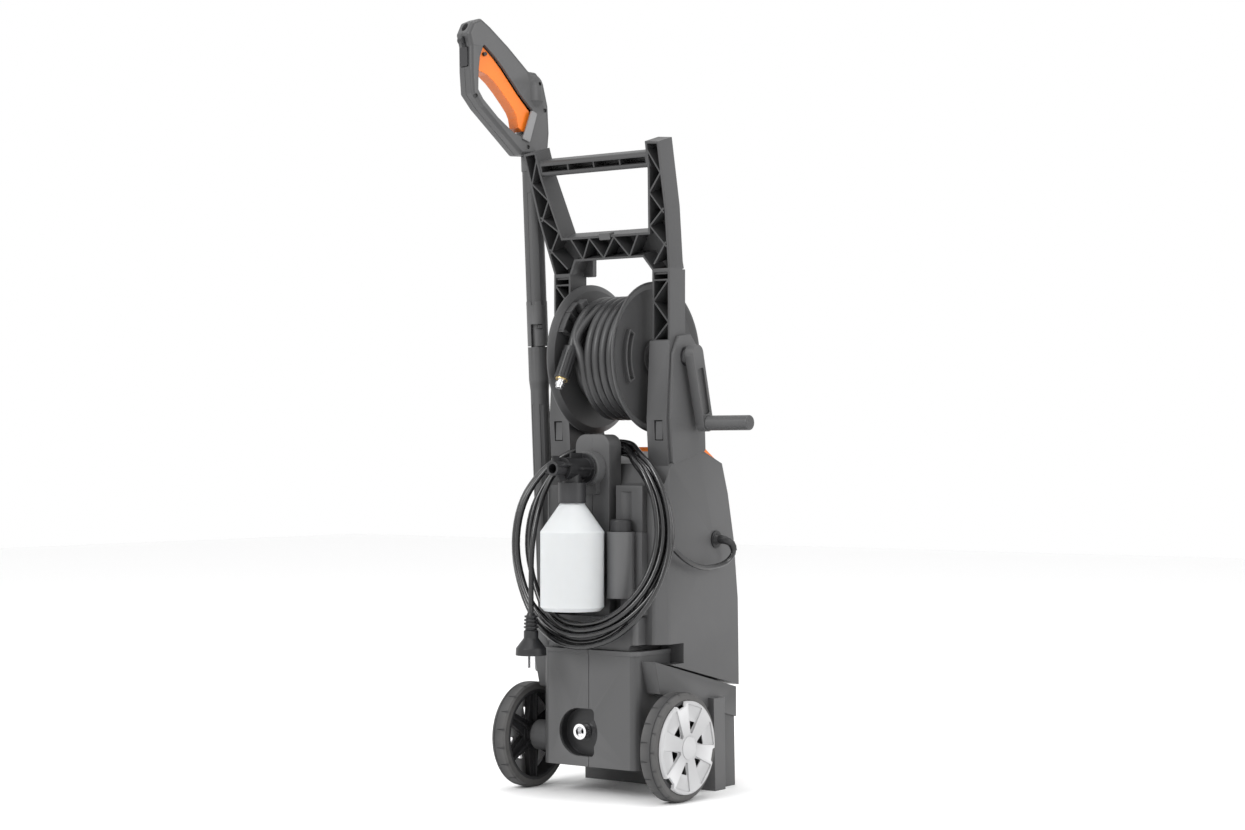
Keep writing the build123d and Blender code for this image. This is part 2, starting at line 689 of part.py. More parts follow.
def lance_lower():
    body = rod(LANCE_R - 1.5, JOINT_H - 62, z=20) + rod(LANCE_R, 44, z=JOINT_H - 45)
    cone = Location((0, 0, JOINT_H - 52)) * Cone(LANCE_R - 1.5, LANCE_R, 14)
    body += cone
    for step in range(6):
        body -= at(rz=60 * step + 15) * Location((LANCE_R - 1, 0, 200)) * Box(2.4, 4.5, 300)
    body += rod(9.5, 40, z=JOINT_H - 1.5)
    body += at(rz=PEG_TURN) * Location((10.5, 0, JOINT_H + 26)) * Box(6, 5, 5)
    body += rod(6.0, 14, z=7)
    return lance_place(body - rod(3.0, JOINT_H + 60, z=5))


def lance_upper():
    body = rod(LANCE_R, 60, z=JOINT_H) + rod(LANCE_R - 0.6, LANCE_TOP - JOINT_H - 60, z=JOINT_H + 60)
    body += rod(LANCE_R + 0.4, 20, z=LANCE_TOP - 20)
    for step in range(6):
        body -= at(rz=60 * step + 45) * Location((LANCE_R, 0, JOINT_H + 130)) * Box(2.4, 5, 150)
    body -= rod(9.5 + FIT, 42, z=JOINT_H - 1)
    low, high = JOINT_H + 22.5, JOINT_H + 29.5
    for step in range(6):
        body -= at(rz=PEG_TURN - PEG_TRAVEL / 5 * step) * block(0, 20, -3, 3, low, high)
    body -= at(rz=PEG_TURN - PEG_TRAVEL) * block(0, 20, -3, 3, JOINT_H - 1, high)
    return lance_place(body - rod(4.2, LANCE_TOP, z=JOINT_H + 20))


def lance_nozzle():
    """Adjustable spray tip at the lance's foot."""
    tip = rod(13, 23.6, z=-4) - rod(6.0 + FIT, 20, z=6.6)
    return lance_place(tip - rod(2, 40, z=-8))


def lance_holder():
    """Cup on the housing's side that the lance stands in."""
    cup = lance_place(rod(19, 66, z=-9) - rod(16.2, 66, z=-6))
    arm = block(SIDE_X, LANCE_X, -60, -30, 168, 205, 4, "x")
    arm -= lance_place(rod(18, 90, z=-10))
    return cup + arm


def gun_place(shape):
    """Turns a part drawn in the gun's plane, grip along +X and up +Z, onto the lance."""
    return lance_place(Location((0, 0, 0), (0, 0, GUN_YAW)) * shape)


GUN_OUT = [(-17, 682), (-21, 712), (-20.5, 748), (-14, 778), (-2, 792), (10, 793), (42, 823.5), (71, 848),
           (86, 858.5), (100, 853), (108, 838), (104.5, 822), (105.5, 790), (104.5, 760), (90, 741.5), (56, 709),
           (28, 682)]
GUN_WINDOW = [(94, 790), (95.5, 765), (88, 753), (65, 730), (43, 713), (27, 705), (15, 711), (6, 724), (7, 741),
              (27, 762), (40, 778.5), (52.5, 794), (65, 808), (84, 825), (91, 808)]
TRIGGER_FACE = [(82.5, 822), (88.5, 808), (91, 791), (76.7, 785.5), (65.5, 776.5), (54, 764.5), (41.5, 749.5),
                (33.5, 739), (30, 731), (28, 718), (21, 713), (14.5, 716), (8.5, 727), (9.5, 740), (28, 760.5),
                (41, 777), (53.5, 792.5), (66, 806.5)]
TRIGGER_W = 20.0
TRIGGER_PIN = (81, 812)
TRIGGER_SWING = 7.0
LOCK_FOOT = (21, 703.5)
BUTTON_Z = 829.0
BUTTON_PRESS = 3.0
INLET = (101, 846)
GUN_SCREWS = [(16.6, 692.5), (99, 757), (-13.5, 742), (-5, 777)]


def gun_plate(inset):
    """The gun's side outline as a solid plate with rounded edges."""
    face = outline(GUN_OUT, 5)
    if inset:
        face = offset(face, -inset - GUN_EDGE / 3)
    depth = GUN_T - inset
    plate = pull_y(face, depth, 2 * depth)
    if inset:
        return plate
    rims = plate.faces().filter_by(Axis.Y)
    return fillet([edge for rim in rims for edge in rim.edges()], GUN_EDGE)


def gun_barrel(radius):
    """Round barrel above the lance, domed at its top."""
    foot = Location((0, 0, 750)) * Cone(GUN_T - 0.5, radius, 12)
    return foot + rod(radius, 20, z=754) + Location((0, 0, 774)) * Sphere(radius)


def gun_cut(points, width, radius=0.0, grow=0.0):
    face = outline(points, radius)
    if grow:
        face = offset(face, grow)
    return pull_y(face, width / 2, width)


def trigger_swing(shape, angle):
    """Swings a shape about the trigger's pin, into the gun."""
    x, z = TRIGGER_PIN
    return Location((x, 0, z), (0, angle, 0)) * Location((-x, 0, -z)) * shape


def gun_seam():
    """A fine groove round the outside, where the two halves meet."""
    face = outline(GUN_OUT, 5)
    ring = offset(face, 2) - offset(face, -0.8)
    return pull_y(ring, 0.3, 0.6)


def gun_shell(side):
    """One half of the gun's casing, hollow, split on the gun's plane."""
    window = gun_cut(GUN_WINDOW, 80, 2.5)
    body = gun_plate(0) + gun_barrel(18.5)
    body -= gun_plate(WALL) - gun_cut(GUN_WINDOW, 90, 2.5, WALL)
    body -= window
    room = gun_cut(TRIGGER_FACE, TRIGGER_W + 1.6, 0, 0.8)
    for share in (0.0, 0.25, 0.5, 0.75, 1.0):
        body -= trigger_swing(room, share * TRIGGER_SWING)
    x, z = TRIGGER_PIN
    body -= rod(2.5, 80, x=x, y=-40, z=z, axis="y")
    body -= rod(2.5 + FIT, 40, x=LOCK_FOOT[0], y=0, z=LOCK_FOOT[1], axis="y")
    mouth = Plane(origin=(INLET[0], 0, INLET[1]), z_dir=(0.86, 0, 0.51))
    body += (mouth * tube(10, 6, 34, z=-30)) & gun_plate(0)
    body -= mouth * rod(6, 34, z=-30)
    body -= block(92, 120, -8.4, 8.4, BUTTON_Z - 33.4, BUTTON_Z - 8)
    body -= block(92, 120, -4.4, 4.4, BUTTON_Z - 10, BUTTON_Z + 5.4)
    body -= rod(LANCE_R - 3.5, 70, z=640)
    for x, z in GUN_SCREWS:
        body += rod(5.2, 2 * GUN_T - 4, x=x, y=2 - GUN_T, z=z, axis="y") & gun_plate(0)
        body -= rod(2.6, 8, x=x, y=GUN_T - 4, z=z, axis="y")
    body -= gun_seam()
    low, high = (0, 60) if side > 0 else (-60, 0)
    return gun_place(body & block(-80, 160, low, high, 600, 900))


def trigger():
    """Long trigger that hangs from a pin at the gun's crown and closes into the handle."""
    blade = gun_cut(TRIGGER_FACE, TRIGGER_W, 1.5)
    return gun_place(blade - rod(2.5 + FIT, 40, x=TRIGGER_PIN[0], y=-20, z=TRIGGER_PIN[1], axis="y"))


def trigger_pin():
    return gun_place(rod(2.5, 2 * GUN_T - 2, x=TRIGGER_PIN[0], y=1 - GUN_T, z=TRIGGER_PIN[1], axis="y"))


def trigger_lock():
    """Side lever that blocks the trigger."""
    plate = prism_y([(27, 703), (16, 698.5), (2, 737), (11, 741)], GUN_T + 3.3, 3, 2)
    pin = rod(2.5, 12, x=LOCK_FOOT[0], y=GUN_T - 10, z=LOCK_FOOT[1], axis="y")
    return gun_place(plate + pin)


def release_button():
    """Button that frees the hose from the gun: a flat panel with a lug above it."""
    panel = block(92 + BUTTON_PRESS + 0.4, 107, -8, 8, BUTTON_Z - 33, BUTTON_Z - 8.4, 1.5, "x")
    lug = block(96, 106, -4, 4, BUTTON_Z - 10, BUTTON_Z + 5)
    tip = rod(4.6, 8, x=108.5, y=-4, z=BUTTON_Z + 0.4, axis="y")
    return gun_place(panel + lug + tip)


def gun_valve():
    """Brass valve block between the lance pipe and the trigger."""
    body = rod(8, 16, z=682) + rod(4, 5, z=697)
    return gun_place(body - rod(4.2, 14, z=677))


def gun_screws():
    """Screws that clamp the two halves of the gun."""
    screws = []
    for x, z in GUN_SCREWS:
        head = rod(2.55, 2, x=x, y=GUN_T - 4, z=z, axis="y")
        screws.append(gun_place(head))
    return screws


# ---------------------------------------------------------------- motor and pump

MOTOR_Y = -80.0


def pump_head():
    """Brass head with its outlet and the feed to the inlet spigot."""
    head = block(-34, 34, -112, -52, 52, 92, 5)
    head += rod(8.0, 46, x=17, y=-55, z=82, axis="y")
    head += rod(8.0, 12, x=33, y=MOTOR_Y, z=72, axis="x")
    head -= rod(5.9 + FIT, 14, x=17, y=-22, z=82, axis="y")
    return head - rod(4, 60, x=17, y=-70, z=82, axis="y")


def pump_body():
    return rod(40, 30, y=MOTOR_Y, z=130.6) + rod(30, 39, y=MOTOR_Y, z=92.3) - rod(9, 72, y=MOTOR_Y, z=104)


def motor_can():
    """Motor casing with a bearing seat at each end."""
    can = rod(48, 128, y=MOTOR_Y, z=161) - rod(44, 122, y=MOTOR_Y, z=164)
    can -= rod(8 + FIT, 160, y=MOTOR_Y, z=150)
    ring = tube(44, 31, 80, y=MOTOR_Y, z=185)
    return can + ring


def motor_rotor():
    """Armature and shaft, down to the pump's swash plate."""
    shaft = rod(8, 200, y=MOTOR_Y, z=112)
    return shaft + rod(28, 84, y=MOTOR_Y, z=183) + rod(8, 4, y=MOTOR_Y, z=108.4)


def motor_fan():
    """Cooling fan on the motor's upper shaft end."""
    hub = rod(14, 14, y=MOTOR_Y, z=294) - rod(8, 20, y=MOTOR_Y, z=290)
    for step in range(9):
        blade = at(x=26, z=301) * Box(26, 2, 14)
        hub += at(y=MOTOR_Y, rz=40 * step) * blade
    return hub


def outlet_pipe():
    """High pressure hose from the pump up to the reel's swivel."""
    top = REEL_Z - 22
    path = FilletPolyline((45, MOTOR_Y, 72), (FEED_X, MOTOR_Y, 72), (FEED_X, MOTOR_Y, 150),
                          (FEED_X, REEL_Y, 230), (FEED_X, REEL_Y, top), radius=12)
    section = Plane(origin=path @ 0, z_dir=path % 0) * Circle(4.5)
    return sweep(section, path)


# ---------------------------------------------------------------- supply cord and plug

GLAND = (-SIDE_X - 6.0, -118.0, 330.0)
RUN = [(-114, -118, 330), (-119, -127, 324), (-119, -131, 312), (-114, -121, 300), (-111, -99, 295),
       (-112, -70, 294), (-113, -42, 300), (-112, -18, 311), (-110, 2, 326)]
COIL = [(0, -19.5, 452), (-32, -19.5, 450), (-57, 4, 439), (-86, 13, 418), (-107, 14, 378), (-114, 18, 325),
        (-102, 36, 270), (-64, 57, 226), (0, 56, 212), (50, 52, 226), (88, 44, 262), (110, 40, 318), (106, 32, 376),
        (86, 16, 416), (59, 4, 439), (34, -19.5, 450)]
TAIL = [(62, 2, 434), (60, 26, 418), (58, 50, 392), (57, 68, 358), (57, 77, 318), (57, 78, 278), (57, 78, 238)]
PLUG_TOP = (57.0, 78.0, 238.0)


def corner_radii(points, closed=False):
    """The largest tangent arc that the two runs at each corner leave room for."""
    count = len(points)
    places = range(count) if closed else range(1, count - 1)
    radii = []
    for i in places:
        before = Vector(*points[i]) - Vector(*points[i - 1])
        after = Vector(*points[(i + 1) % count]) - Vector(*points[i])
        turn = radians(before.get_angle(after))
        radii.append(0.45 * min(before.length, after.length) / tan(turn / 2))
    return radii


def route_tube(name, points, diameter, radii=None):
    """A tube along straight runs joined by tangent arcs."""
    radii = radii or corner_radii(points)
    path = FilletPolyline(*points, radius=radii)
    section = Plane(origin=path @ 0, z_dir=path % 0) * Circle(diameter / 2)
    solid = sweep(section, path)
    expected = pi * diameter ** 2 / 4 * path.length
    print(name, "radii", [round(r, 1) for r in radii], "length", round(path.length, 1),
          "volume ratio", round(solid.volume / expected, 4))
    return solid


def cord_gland():
    """Collar and tapered strain relief where the cord leaves the housing."""
    x, y, z = GLAND
    collar = rod(8.9, 8, x=-SIDE_X - 0.6, y=y, z=z, axis="x") + rod(11.5, 2, x=-SIDE_X - 2.2, y=y, z=z, axis="x")
    length = -SIDE_X - 2 - x
    taper = Location((x + length / 2, y, z), (0, 90, 0)) * Cone(5.5, 7.5, length)
    return collar + taper


def cord_run():
    return route_tube("cord_run", [GLAND] + RUN, CORD_D)


def cord_coil():
    """Outer shape of the coil, swept in two halves that meet in the middle of two runs."""
    count = len(COIL)
    radii = corner_radii(COIL, closed=True)
    half_way = count // 2
    start = tuple((COIL[0][i] + COIL[-1][i]) / 2 for i in range(3))
    middle = tuple((COIL[half_way][i] + COIL[half_way - 1][i]) / 2 for i in range(3))
    first = route_tube("cord_coil a", [start] + COIL[:half_way] + [middle], COIL_D, radii[:half_way])
    second = route_tube("cord_coil b", [middle] + COIL[half_way:] + [start], COIL_D, radii[half_way:])
    return first + second


def cord_tail():
    return route_tube("cord_tail", TAIL, CORD_D)


def plug_body():
    """Flat-pin plug: ribbed strain relief, waist and round face."""
    x, y, z = PLUG_TOP
    profile = [(0, 0), (4.4, 0), (6.5, -4), (7.5, -22), (9.5, -24), (9.5, -33), (19.5, -46), (20, -55), (0, -55)]
    body = revolve(Plane.XZ * outline(profile), Axis.Z)
    for step in range(4):
        body += at(z=-5.2 - 4.6 * step) * rod(8.6 + 0.3 * step, 2.2, z=-1)
    return at(x, y, z) * body


def plug_pins():
    """Two slanted flat pins."""
    x, y, z = PLUG_TOP
    pins = []
    for side in (1, -1):
        pin = Location((8 * side, 0, -63.6), (0, 0, 30 * side)) * Box(1.6, 6.3, 17)
        pins.append(at(x, y, z, rz=-35) * pin)
    return pins


# ---------------------------------------------------------------- the whole machine

def build():
    shapes = {}
    body = housing()
    low = base()
    for name, side in (("left", 1), ("right", -1)):
        shapes["housing_" + name] = half(body, side)
        shapes["base_" + name] = half(low, side)
        shapes["tyre_" + name] = tyre(side)
        shapes["rim_" + name] = rim(side)
        shapes["hubcap_" + name] = hubcap(side)
        shapes["gun_shell_" + name] = gun_shell(side)
    for name, side in (("left", 1), ("right", -1)):
        shapes["spare_nozzle_" + name] = spare_nozzle(side, SPARE_TOP)
    singles = [axle, axle_clips, inlet_cup, inlet_tube, front_cover, switch_knob,
               handle_frame, flange_right, flange_left, reel_drum, hose_winding, hose_sleeve, hose_nut,
               hose_nipple, reel_spindle, reel_swivel, reel_bushes, crank_arm, crank_pin, crank_grip,
               bottle_holder, bottle, bottle_cap, bottle_nozzle, lance_lower, lance_upper,
               lance_nozzle, lance_holder, trigger, trigger_pin, trigger_lock, release_button,
               gun_valve, gun_screws, pump_head, pump_body, motor_can, motor_rotor, motor_fan, outlet_pipe,
               cord_gland, cord_run, cord_coil, cord_tail, plug_body, plug_pins]
    for make in singles:
        shapes[make.__name__] = make()
    return shapes


CORD_NODES = ["cord_gland", "cord_run", "cord_coil", "cord_tail", "plug_body", "plug_pins"]


def solids_of(shape):
    if isinstance(shape, list):
        return [solid for item in shape for solid in item.solids()]
    return list(shape.solids())


def origin_of(shapes):
    """Middle of the ground outline, without the cord."""
    rigid = [solid for name, shape in shapes.items() if name not in CORD_NODES for solid in solids_of(shape)]
    box = Compound(rigid).bounding_box()
    return Vector((box.min.X + box.max.X) / 2, (box.min.Y + box.max.Y) / 2, box.min.Z)


SHAPES = build()
ORIGIN = origin_of(SHAPES)
os.makedirs("parts", exist_ok=True)
for NAME, SHAPE in SHAPES.items():
    SOLIDS = solids_of(SHAPE)
    MOVED = [Location(-ORIGIN) * solid for solid in SOLIDS]
    export_step(Compound(MOVED) if len(MOVED) > 1 else MOVED[0], "parts/" + NAME + ".step")
print("nodes", len(SHAPES), "origin", ORIGIN)
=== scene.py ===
import math

import bpy
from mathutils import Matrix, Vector


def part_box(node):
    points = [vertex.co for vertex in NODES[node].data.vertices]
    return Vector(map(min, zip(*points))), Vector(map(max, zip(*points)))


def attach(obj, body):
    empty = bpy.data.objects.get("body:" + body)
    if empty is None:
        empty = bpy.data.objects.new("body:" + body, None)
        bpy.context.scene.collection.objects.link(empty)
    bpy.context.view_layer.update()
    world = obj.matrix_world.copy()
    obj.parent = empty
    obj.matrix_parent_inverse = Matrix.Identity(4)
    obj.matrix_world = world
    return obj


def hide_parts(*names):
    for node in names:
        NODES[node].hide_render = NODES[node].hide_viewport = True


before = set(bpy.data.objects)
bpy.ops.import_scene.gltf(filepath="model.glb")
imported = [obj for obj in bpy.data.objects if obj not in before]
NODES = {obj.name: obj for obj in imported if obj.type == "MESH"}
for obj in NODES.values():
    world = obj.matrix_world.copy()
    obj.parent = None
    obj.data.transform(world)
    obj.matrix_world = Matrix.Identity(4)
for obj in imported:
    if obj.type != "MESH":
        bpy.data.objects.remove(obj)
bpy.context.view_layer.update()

# ---------------------------------------------------------------- places, from the frame

AXLE_LOW, AXLE_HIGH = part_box("axle")
SEAM_X = (AXLE_LOW[0] + AXLE_HIGH[0]) / 2
AXLE_Y = (AXLE_LOW[1] + AXLE_HIGH[1]) / 2
DRUM_LOW, DRUM_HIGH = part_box("reel_drum")
REEL_Y = (DRUM_LOW[1] + DRUM_HIGH[1]) / 2
REEL_Z = (DRUM_LOW[2] + DRUM_HIGH[2]) / 2


def spot(x, y, z):
    """A point given in millimetres from the seam, the axle and the ground."""
    return Vector((SEAM_X + x / 1000, AXLE_Y + y / 1000, z / 1000))


# ---------------------------------------------------------------- camera

CAMERA_SPOT = (-1786.6, 2391.0, 441.5)
CAMERA_TURN = math.radians(180 + 36.27)
LENS = 66.21
SENSOR_WIDTH = 36.0
SENSOR_SHIFT = 0.031968


def add_camera():
    data = bpy.data.cameras.new("camera")
    data.lens = LENS
    data.sensor_width = SENSOR_WIDTH
    data.shift_y = SENSOR_SHIFT
    data.clip_end = 50
    cam = bpy.data.objects.new("camera", data)
    cam.location = spot(*CAMERA_SPOT)
    cam.rotation_euler = (math.radians(90), 0, CAMERA_TURN)
    bpy.context.scene.collection.objects.link(cam)
    bpy.context.scene.camera = cam


# ---------------------------------------------------------------- materials

class Shader:
    """A small builder around one Principled material."""

    def __init__(self, name, color, roughness, metallic=0.0):
        self.mat = bpy.data.materials.new(name)
        self.mat.use_nodes = True
        self.tree = self.mat.node_tree
        self.bsdf = self.tree.nodes["Principled BSDF"]
        self.bsdf.inputs["Base Color"].default_value = (*color, 1)
        self.bsdf.inputs["Roughness"].default_value = roughness
        self.bsdf.inputs["Metallic"].default_value = metallic
        self.color = color
        self.height = None

    def node(self, kind, **inputs):
        made = self.tree.nodes.new(kind)
        for key, value in inputs.items():
            made.inputs[key.replace("_", " ")].default_value = value
        return made

    def link(self, a, b):
        self.tree.links.new(a, b)

    def noise(self, scale, detail=3.0, rough=0.5):
        coords = self.node("ShaderNodeTexCoord")
        made = self.node("ShaderNodeTexNoise", Scale=scale, Detail=detail, Roughness=rough)
        self.link(coords.outputs["Object"], made.inputs["Vector"])
        return made.outputs["Fac"]

    def vary_color(self, fac, dark, light, low=0.3, high=0.7):
        """Colour runs from dark to light times the base as the factor goes from low to high."""
        ramp = self.node("ShaderNodeValToRGB")
        ramp.color_ramp.elements[0].position = low
        ramp.color_ramp.elements[1].position = high
        ramp.color_ramp.elements[0].color = (*[min(1, c * dark) for c in self.color], 1)
        ramp.color_ramp.elements[1].color = (*[min(1, c * light) for c in self.color], 1)
        self.link(fac, ramp.inputs["Fac"])
        self.link(ramp.outputs["Color"], self.bsdf.inputs["Base Color"])

    def vary_roughness(self, fac, low, high):
        span = self.node("ShaderNodeMapRange")
        span.inputs["To Min"].default_value = low
        span.inputs["To Max"].default_value = high
        self.link(fac, span.inputs["Value"])
        self.link(span.outputs["Result"], self.bsdf.inputs["Roughness"])

    def bump(self, fac, strength, distance):
        made = self.node("ShaderNodeBump", Strength=strength, Distance=distance)
        self.link(fac, made.inputs["Height"])
        if self.height:
            self.link(self.height, made.inputs["Normal"])
        self.height = made.outputs["Normal"]
        self.link(self.height, self.bsdf.inputs["Normal"])

    def round_edges(self, radius):
        """Softens the sharp moulded edges, so that they catch the light."""
        made = self.node("ShaderNodeBevel", Radius=radius)
        made.samples = 4
        self.height = made.outputs["Normal"]
        self.link(self.height, self.bsdf.inputs["Normal"])

    def paint_edge_highlight(self, amount, highlight_tone):
        """Painted highlight: convex edges and corners made lighter in the base colour, where light catches
        them.
        """
        place = self.node("ShaderNodeNewGeometry")
        ramp = self.node("ShaderNodeValToRGB")
        ramp.color_ramp.elements[0].position = 0.52
        ramp.color_ramp.elements[1].position = 0.62
        self.link(place.outputs["Pointiness"], ramp.inputs["Fac"])
        mix = self.node("ShaderNodeMix")
        mix.data_type = "RGBA"
        scaled = self.node("ShaderNodeMath")
        scaled.operation = "MULTIPLY"
        scaled.inputs[1].default_value = amount
        self.link(ramp.outputs["Color"], scaled.inputs[0])
        self.link(scaled.outputs["Value"], mix.inputs["Factor"])
        base = self.bsdf.inputs["Base Color"]
        if base.links:
            self.link(base.links[0].from_socket, mix.inputs["A"])
        else:
            mix.inputs["A"].default_value = base.default_value
        mix.inputs["B"].default_value = (*highlight_tone, 1)
        self.link(mix.outputs["Result"], base)


def moulded(name, color, roughness, grain=0.25, edge=0.0012):
    """Injection moulded plastic with a fine spark-eroded grain and faint flow marks."""
    s = Shader(name, color, roughness)
    s.round_edges(edge)
    s.vary_color(s.noise(9, 4), 0.93, 1.07)
    s.vary_roughness(s.noise(40, 5), roughness - 0.06, roughness + 0.08)
    s.bump(s.noise(2600, 2), grain, 0.00012)
    s.bump(s.noise(14, 2, rough=0.4), 0.10, 0.0010)
    s.bsdf.inputs["Specular IOR Level"].default_value = 0.42
    # painted highlight: convex edges lighter than the rest of the plastic
    s.paint_edge_highlight(0.35, tuple(min(1, c * 2.2 + 0.02) for c in color))
    return s.mat


def turned_metal(name, color, roughness, scale):
    s = Shader(name, color, roughness, metallic=1.0)
    s.round_edges(0.0004)
    s.vary_roughness(s.noise(scale, 4), roughness - 0.08, roughness + 0.16)
    s.vary_color(s.noise(60, 4), 0.82, 1.05)
    s.bump(s.noise(scale * 4, 2), 0.12, 0.0001)
    return s.mat


def tyre_rubber():
    s = Shader("tyre_rubber", (0.026, 0.026, 0.027), 0.62)
    s.round_edges(0.0008)
    s.vary_color(s.noise(22, 5), 0.72, 1.35)
    s.vary_roughness(s.noise(60, 5), 0.5, 0.78)
    s.bump(s.noise(700, 3), 0.25, 0.0003)
    s.bump(s.noise(45, 3), 0.12, 0.0008)
    # painted highlight: convex tyre edges lighter than the rest of the rubber
    s.paint_edge_highlight(0.4, (0.16, 0.155, 0.15))
    return s.mat


def hose_rubber():
    s = Shader("hose_rubber", (0.030, 0.030, 0.031), 0.42)
    s.vary_color(s.noise(30, 4), 0.85, 1.15)
    s.vary_roughness(s.noise(90, 4), 0.34, 0.55)
    s.bump(s.noise(900, 3), 0.18, 0.0002)
    return s.mat


def cord_sheath():
    s = Shader("cord_sheath", (0.006, 0.006, 0.0065), 0.24)
    s.vary_color(s.noise(18, 2), 0.85, 1.25)
    s.vary_roughness(s.noise(30, 3), 0.20, 0.30)
    s.bump(s.noise(90, 2), 0.05, 0.0002)
    s.bsdf.inputs["Coat Weight"].default_value = 0.35
    s.bsdf.inputs["Coat Roughness"].default_value = 0.12
    return s.mat


def bottle_plastic():
    """Milky blown polythene."""
    s = Shader("bottle_plastic", (0.60, 0.64, 0.68), 0.38)
    s.round_edges(0.0015)
    s.vary_color(s.noise(16, 3), 0.97, 1.03)
    s.vary_roughness(s.noise(70, 3), 0.30, 0.46)
    s.bump(s.noise(30, 2), 0.10, 0.0010)
    s.bsdf.inputs["Subsurface Weight"].default_value = 0.6
    s.bsdf.inputs["Subsurface Radius"].default_value = (0.02, 0.022, 0.025)
    s.bsdf.inputs["Subsurface Scale"].default_value = 1.0
    return s.mat


GREY = (0.052, 0.052, 0.053)
MATS = {
    "body": moulded("body_plastic", GREY, 0.42),
    "frame": moulded("frame_plastic", (0.042, 0.042, 0.043), 0.45),
    "reel": moulded("reel_plastic", (0.044, 0.044, 0.045), 0.42),
    "orange": moulded("orange_plastic", (0.72, 0.125, 0.006), 0.34, 0.12),
    "black": moulded("black_plastic", (0.010, 0.010, 0.011), 0.38),
    "matt_black": moulded("matt_black_plastic", (0.013, 0.013, 0.014), 0.5),
    "hubcap": moulded("hubcap_paint", (0.40, 0.40, 0.405), 0.36, 0.08),
    "lever": moulded("lever_plastic", (0.14, 0.14, 0.142), 0.4),
    "steel": turned_metal("plated_steel", (0.78, 0.78, 0.79), 0.2, 300),
    "brass": turned_metal("turned_brass", (0.80, 0.60, 0.28), 0.28, 300),
    "cast": turned_metal("cast_aluminium", (0.62, 0.62, 0.63), 0.46, 120),
    "tyre": tyre_rubber(),
    "hose": hose_rubber(),
    "cord": cord_sheath(),
    "bottle": bottle_plastic(),
}

LOOKS = {
    "body": ["housing_left", "housing_right", "base_left", "base_right", "bottle_holder", "lance_holder",
             "crank_arm", "crank_grip", "gun_shell_left", "gun_shell_right", "lance_upper", "lance_lower"],
    "frame": ["handle_frame"],
    "reel": ["flange_left", "flange_right", "reel_drum"],
    "orange": ["front_cover", "trigger"],
    "black": ["inlet_cup", "hose_sleeve", "bottle_cap", "bottle_nozzle", "release_button",
              "switch_knob", "cord_gland", "plug_body", "motor_fan", "lance_nozzle", "reel_bushes",
              "gun_screws", "trigger_pin"],
    "matt_black": ["rim_left", "rim_right", "spare_nozzle_left", "spare_nozzle_right"],
    "hubcap": ["hubcap_left", "hubcap_right"],
    "lever": ["trigger_lock"],
    "steel": ["axle", "axle_clips", "crank_pin", "hose_nipple", "inlet_tube",
              "plug_pins", "motor_rotor", "reel_spindle"],
    "brass": ["hose_nut", "gun_valve", "reel_swivel"],
    "cast": ["pump_head", "pump_body", "motor_can"],
    "tyre": ["tyre_left", "tyre_right"],
    "hose": ["outlet_pipe", "hose_winding"],
    "cord": ["cord_run", "cord_coil", "cord_tail"],
    "bottle": ["bottle"],
}


def paint(obj, look):
    obj.data.materials.clear()
    obj.data.materials.append(MATS[look])


SHARP_ANGLE = math.radians(32)


def paint_nodes():
    for look, names in LOOKS.items():
        for name in names:
            paint(NODES[name], look)
            for face in NODES[name].data.polygons:
                face.use_smooth = True
            NODES[name].data.set_sharp_from_angle(angle=SHARP_ANGLE)


# ---------------------------------------------------------------- helpers for curves

def tube(name, kind, points, radii, roundness):
    """A tube along a curve. The points' radii are its thickness in metres, so that its box is true."""
    data = bpy.data.curves.new(name, "CURVE")
    data.dimensions = "3D"
    data.bevel_depth = 1.0
    data.bevel_resolution = roundness
    data.use_fill_caps = True
    spline = data.splines.new(kind)
    spline.points.add(len(points) - 1)
    for point, place, radius in zip(spline.points, points, radii):
        point.co = (*place, 1)
        point.radius = radius
    obj = bpy.data.objects.new(name, data)
    bpy.context.scene.collection.objects.link(obj)
    return obj


def nurbs(name, points, radius):
    """A smooth tube whose control points are these."""
    obj = tube(name, "NURBS", points, [radius] * len(points), 3)
    spline = obj.data.splines[0]
    spline.order_u = 3
    spline.use_endpoint_u = True
    spline.resolution_u = 5
    return obj


def centre_line(obj):
    """Points along a curve object's own line."""
    depth = obj.data.bevel_depth
    obj.data.bevel_depth = 0
    mesh = bpy.data.meshes.new_from_object(obj)
    obj.data.bevel_depth = depth
    points = [v.co.copy() for v in mesh.vertices]
    bpy.data.meshes.remove(mesh)
    return points


def length_of(points):
    return sum((b - a).length for a, b in zip(points, points[1:]))


# ---------------------------------------------------------------- supply cord

CORD_R = 3.5
GLAND = (-104, -118, 330)
RUN = [(-114, -118, 330), (-119, -127, 324), (-119, -131, 312), (-114, -121, 300), (-111, -99, 295),
       (-112, -70, 294), (-113, -42, 300), (-112, -18, 311), (-110, 2, 326)]
COIL = [(0, -19.5, 452), (-32, -19.5, 450), (-57, 4, 439), (-86, 13, 418), (-107, 14, 378), (-114, 18, 325),
        (-102, 36, 270), (-64, 57, 226), (0, 56, 212), (50, 52, 226), (88, 44, 262), (110, 40, 318),
        (106, 32, 376), (86, 16, 416), (59, 4, 439), (34, -19.5, 450)]
TAIL = [(60, 26, 418), (58, 50, 392), (57, 68, 358), (57, 77, 318), (57, 78, 278), (57, 78, 238)]
COIL_MIDDLE_Z = 330
JOIN_STEP = 5
LEAVE_STEP = 14
TURNS = 6

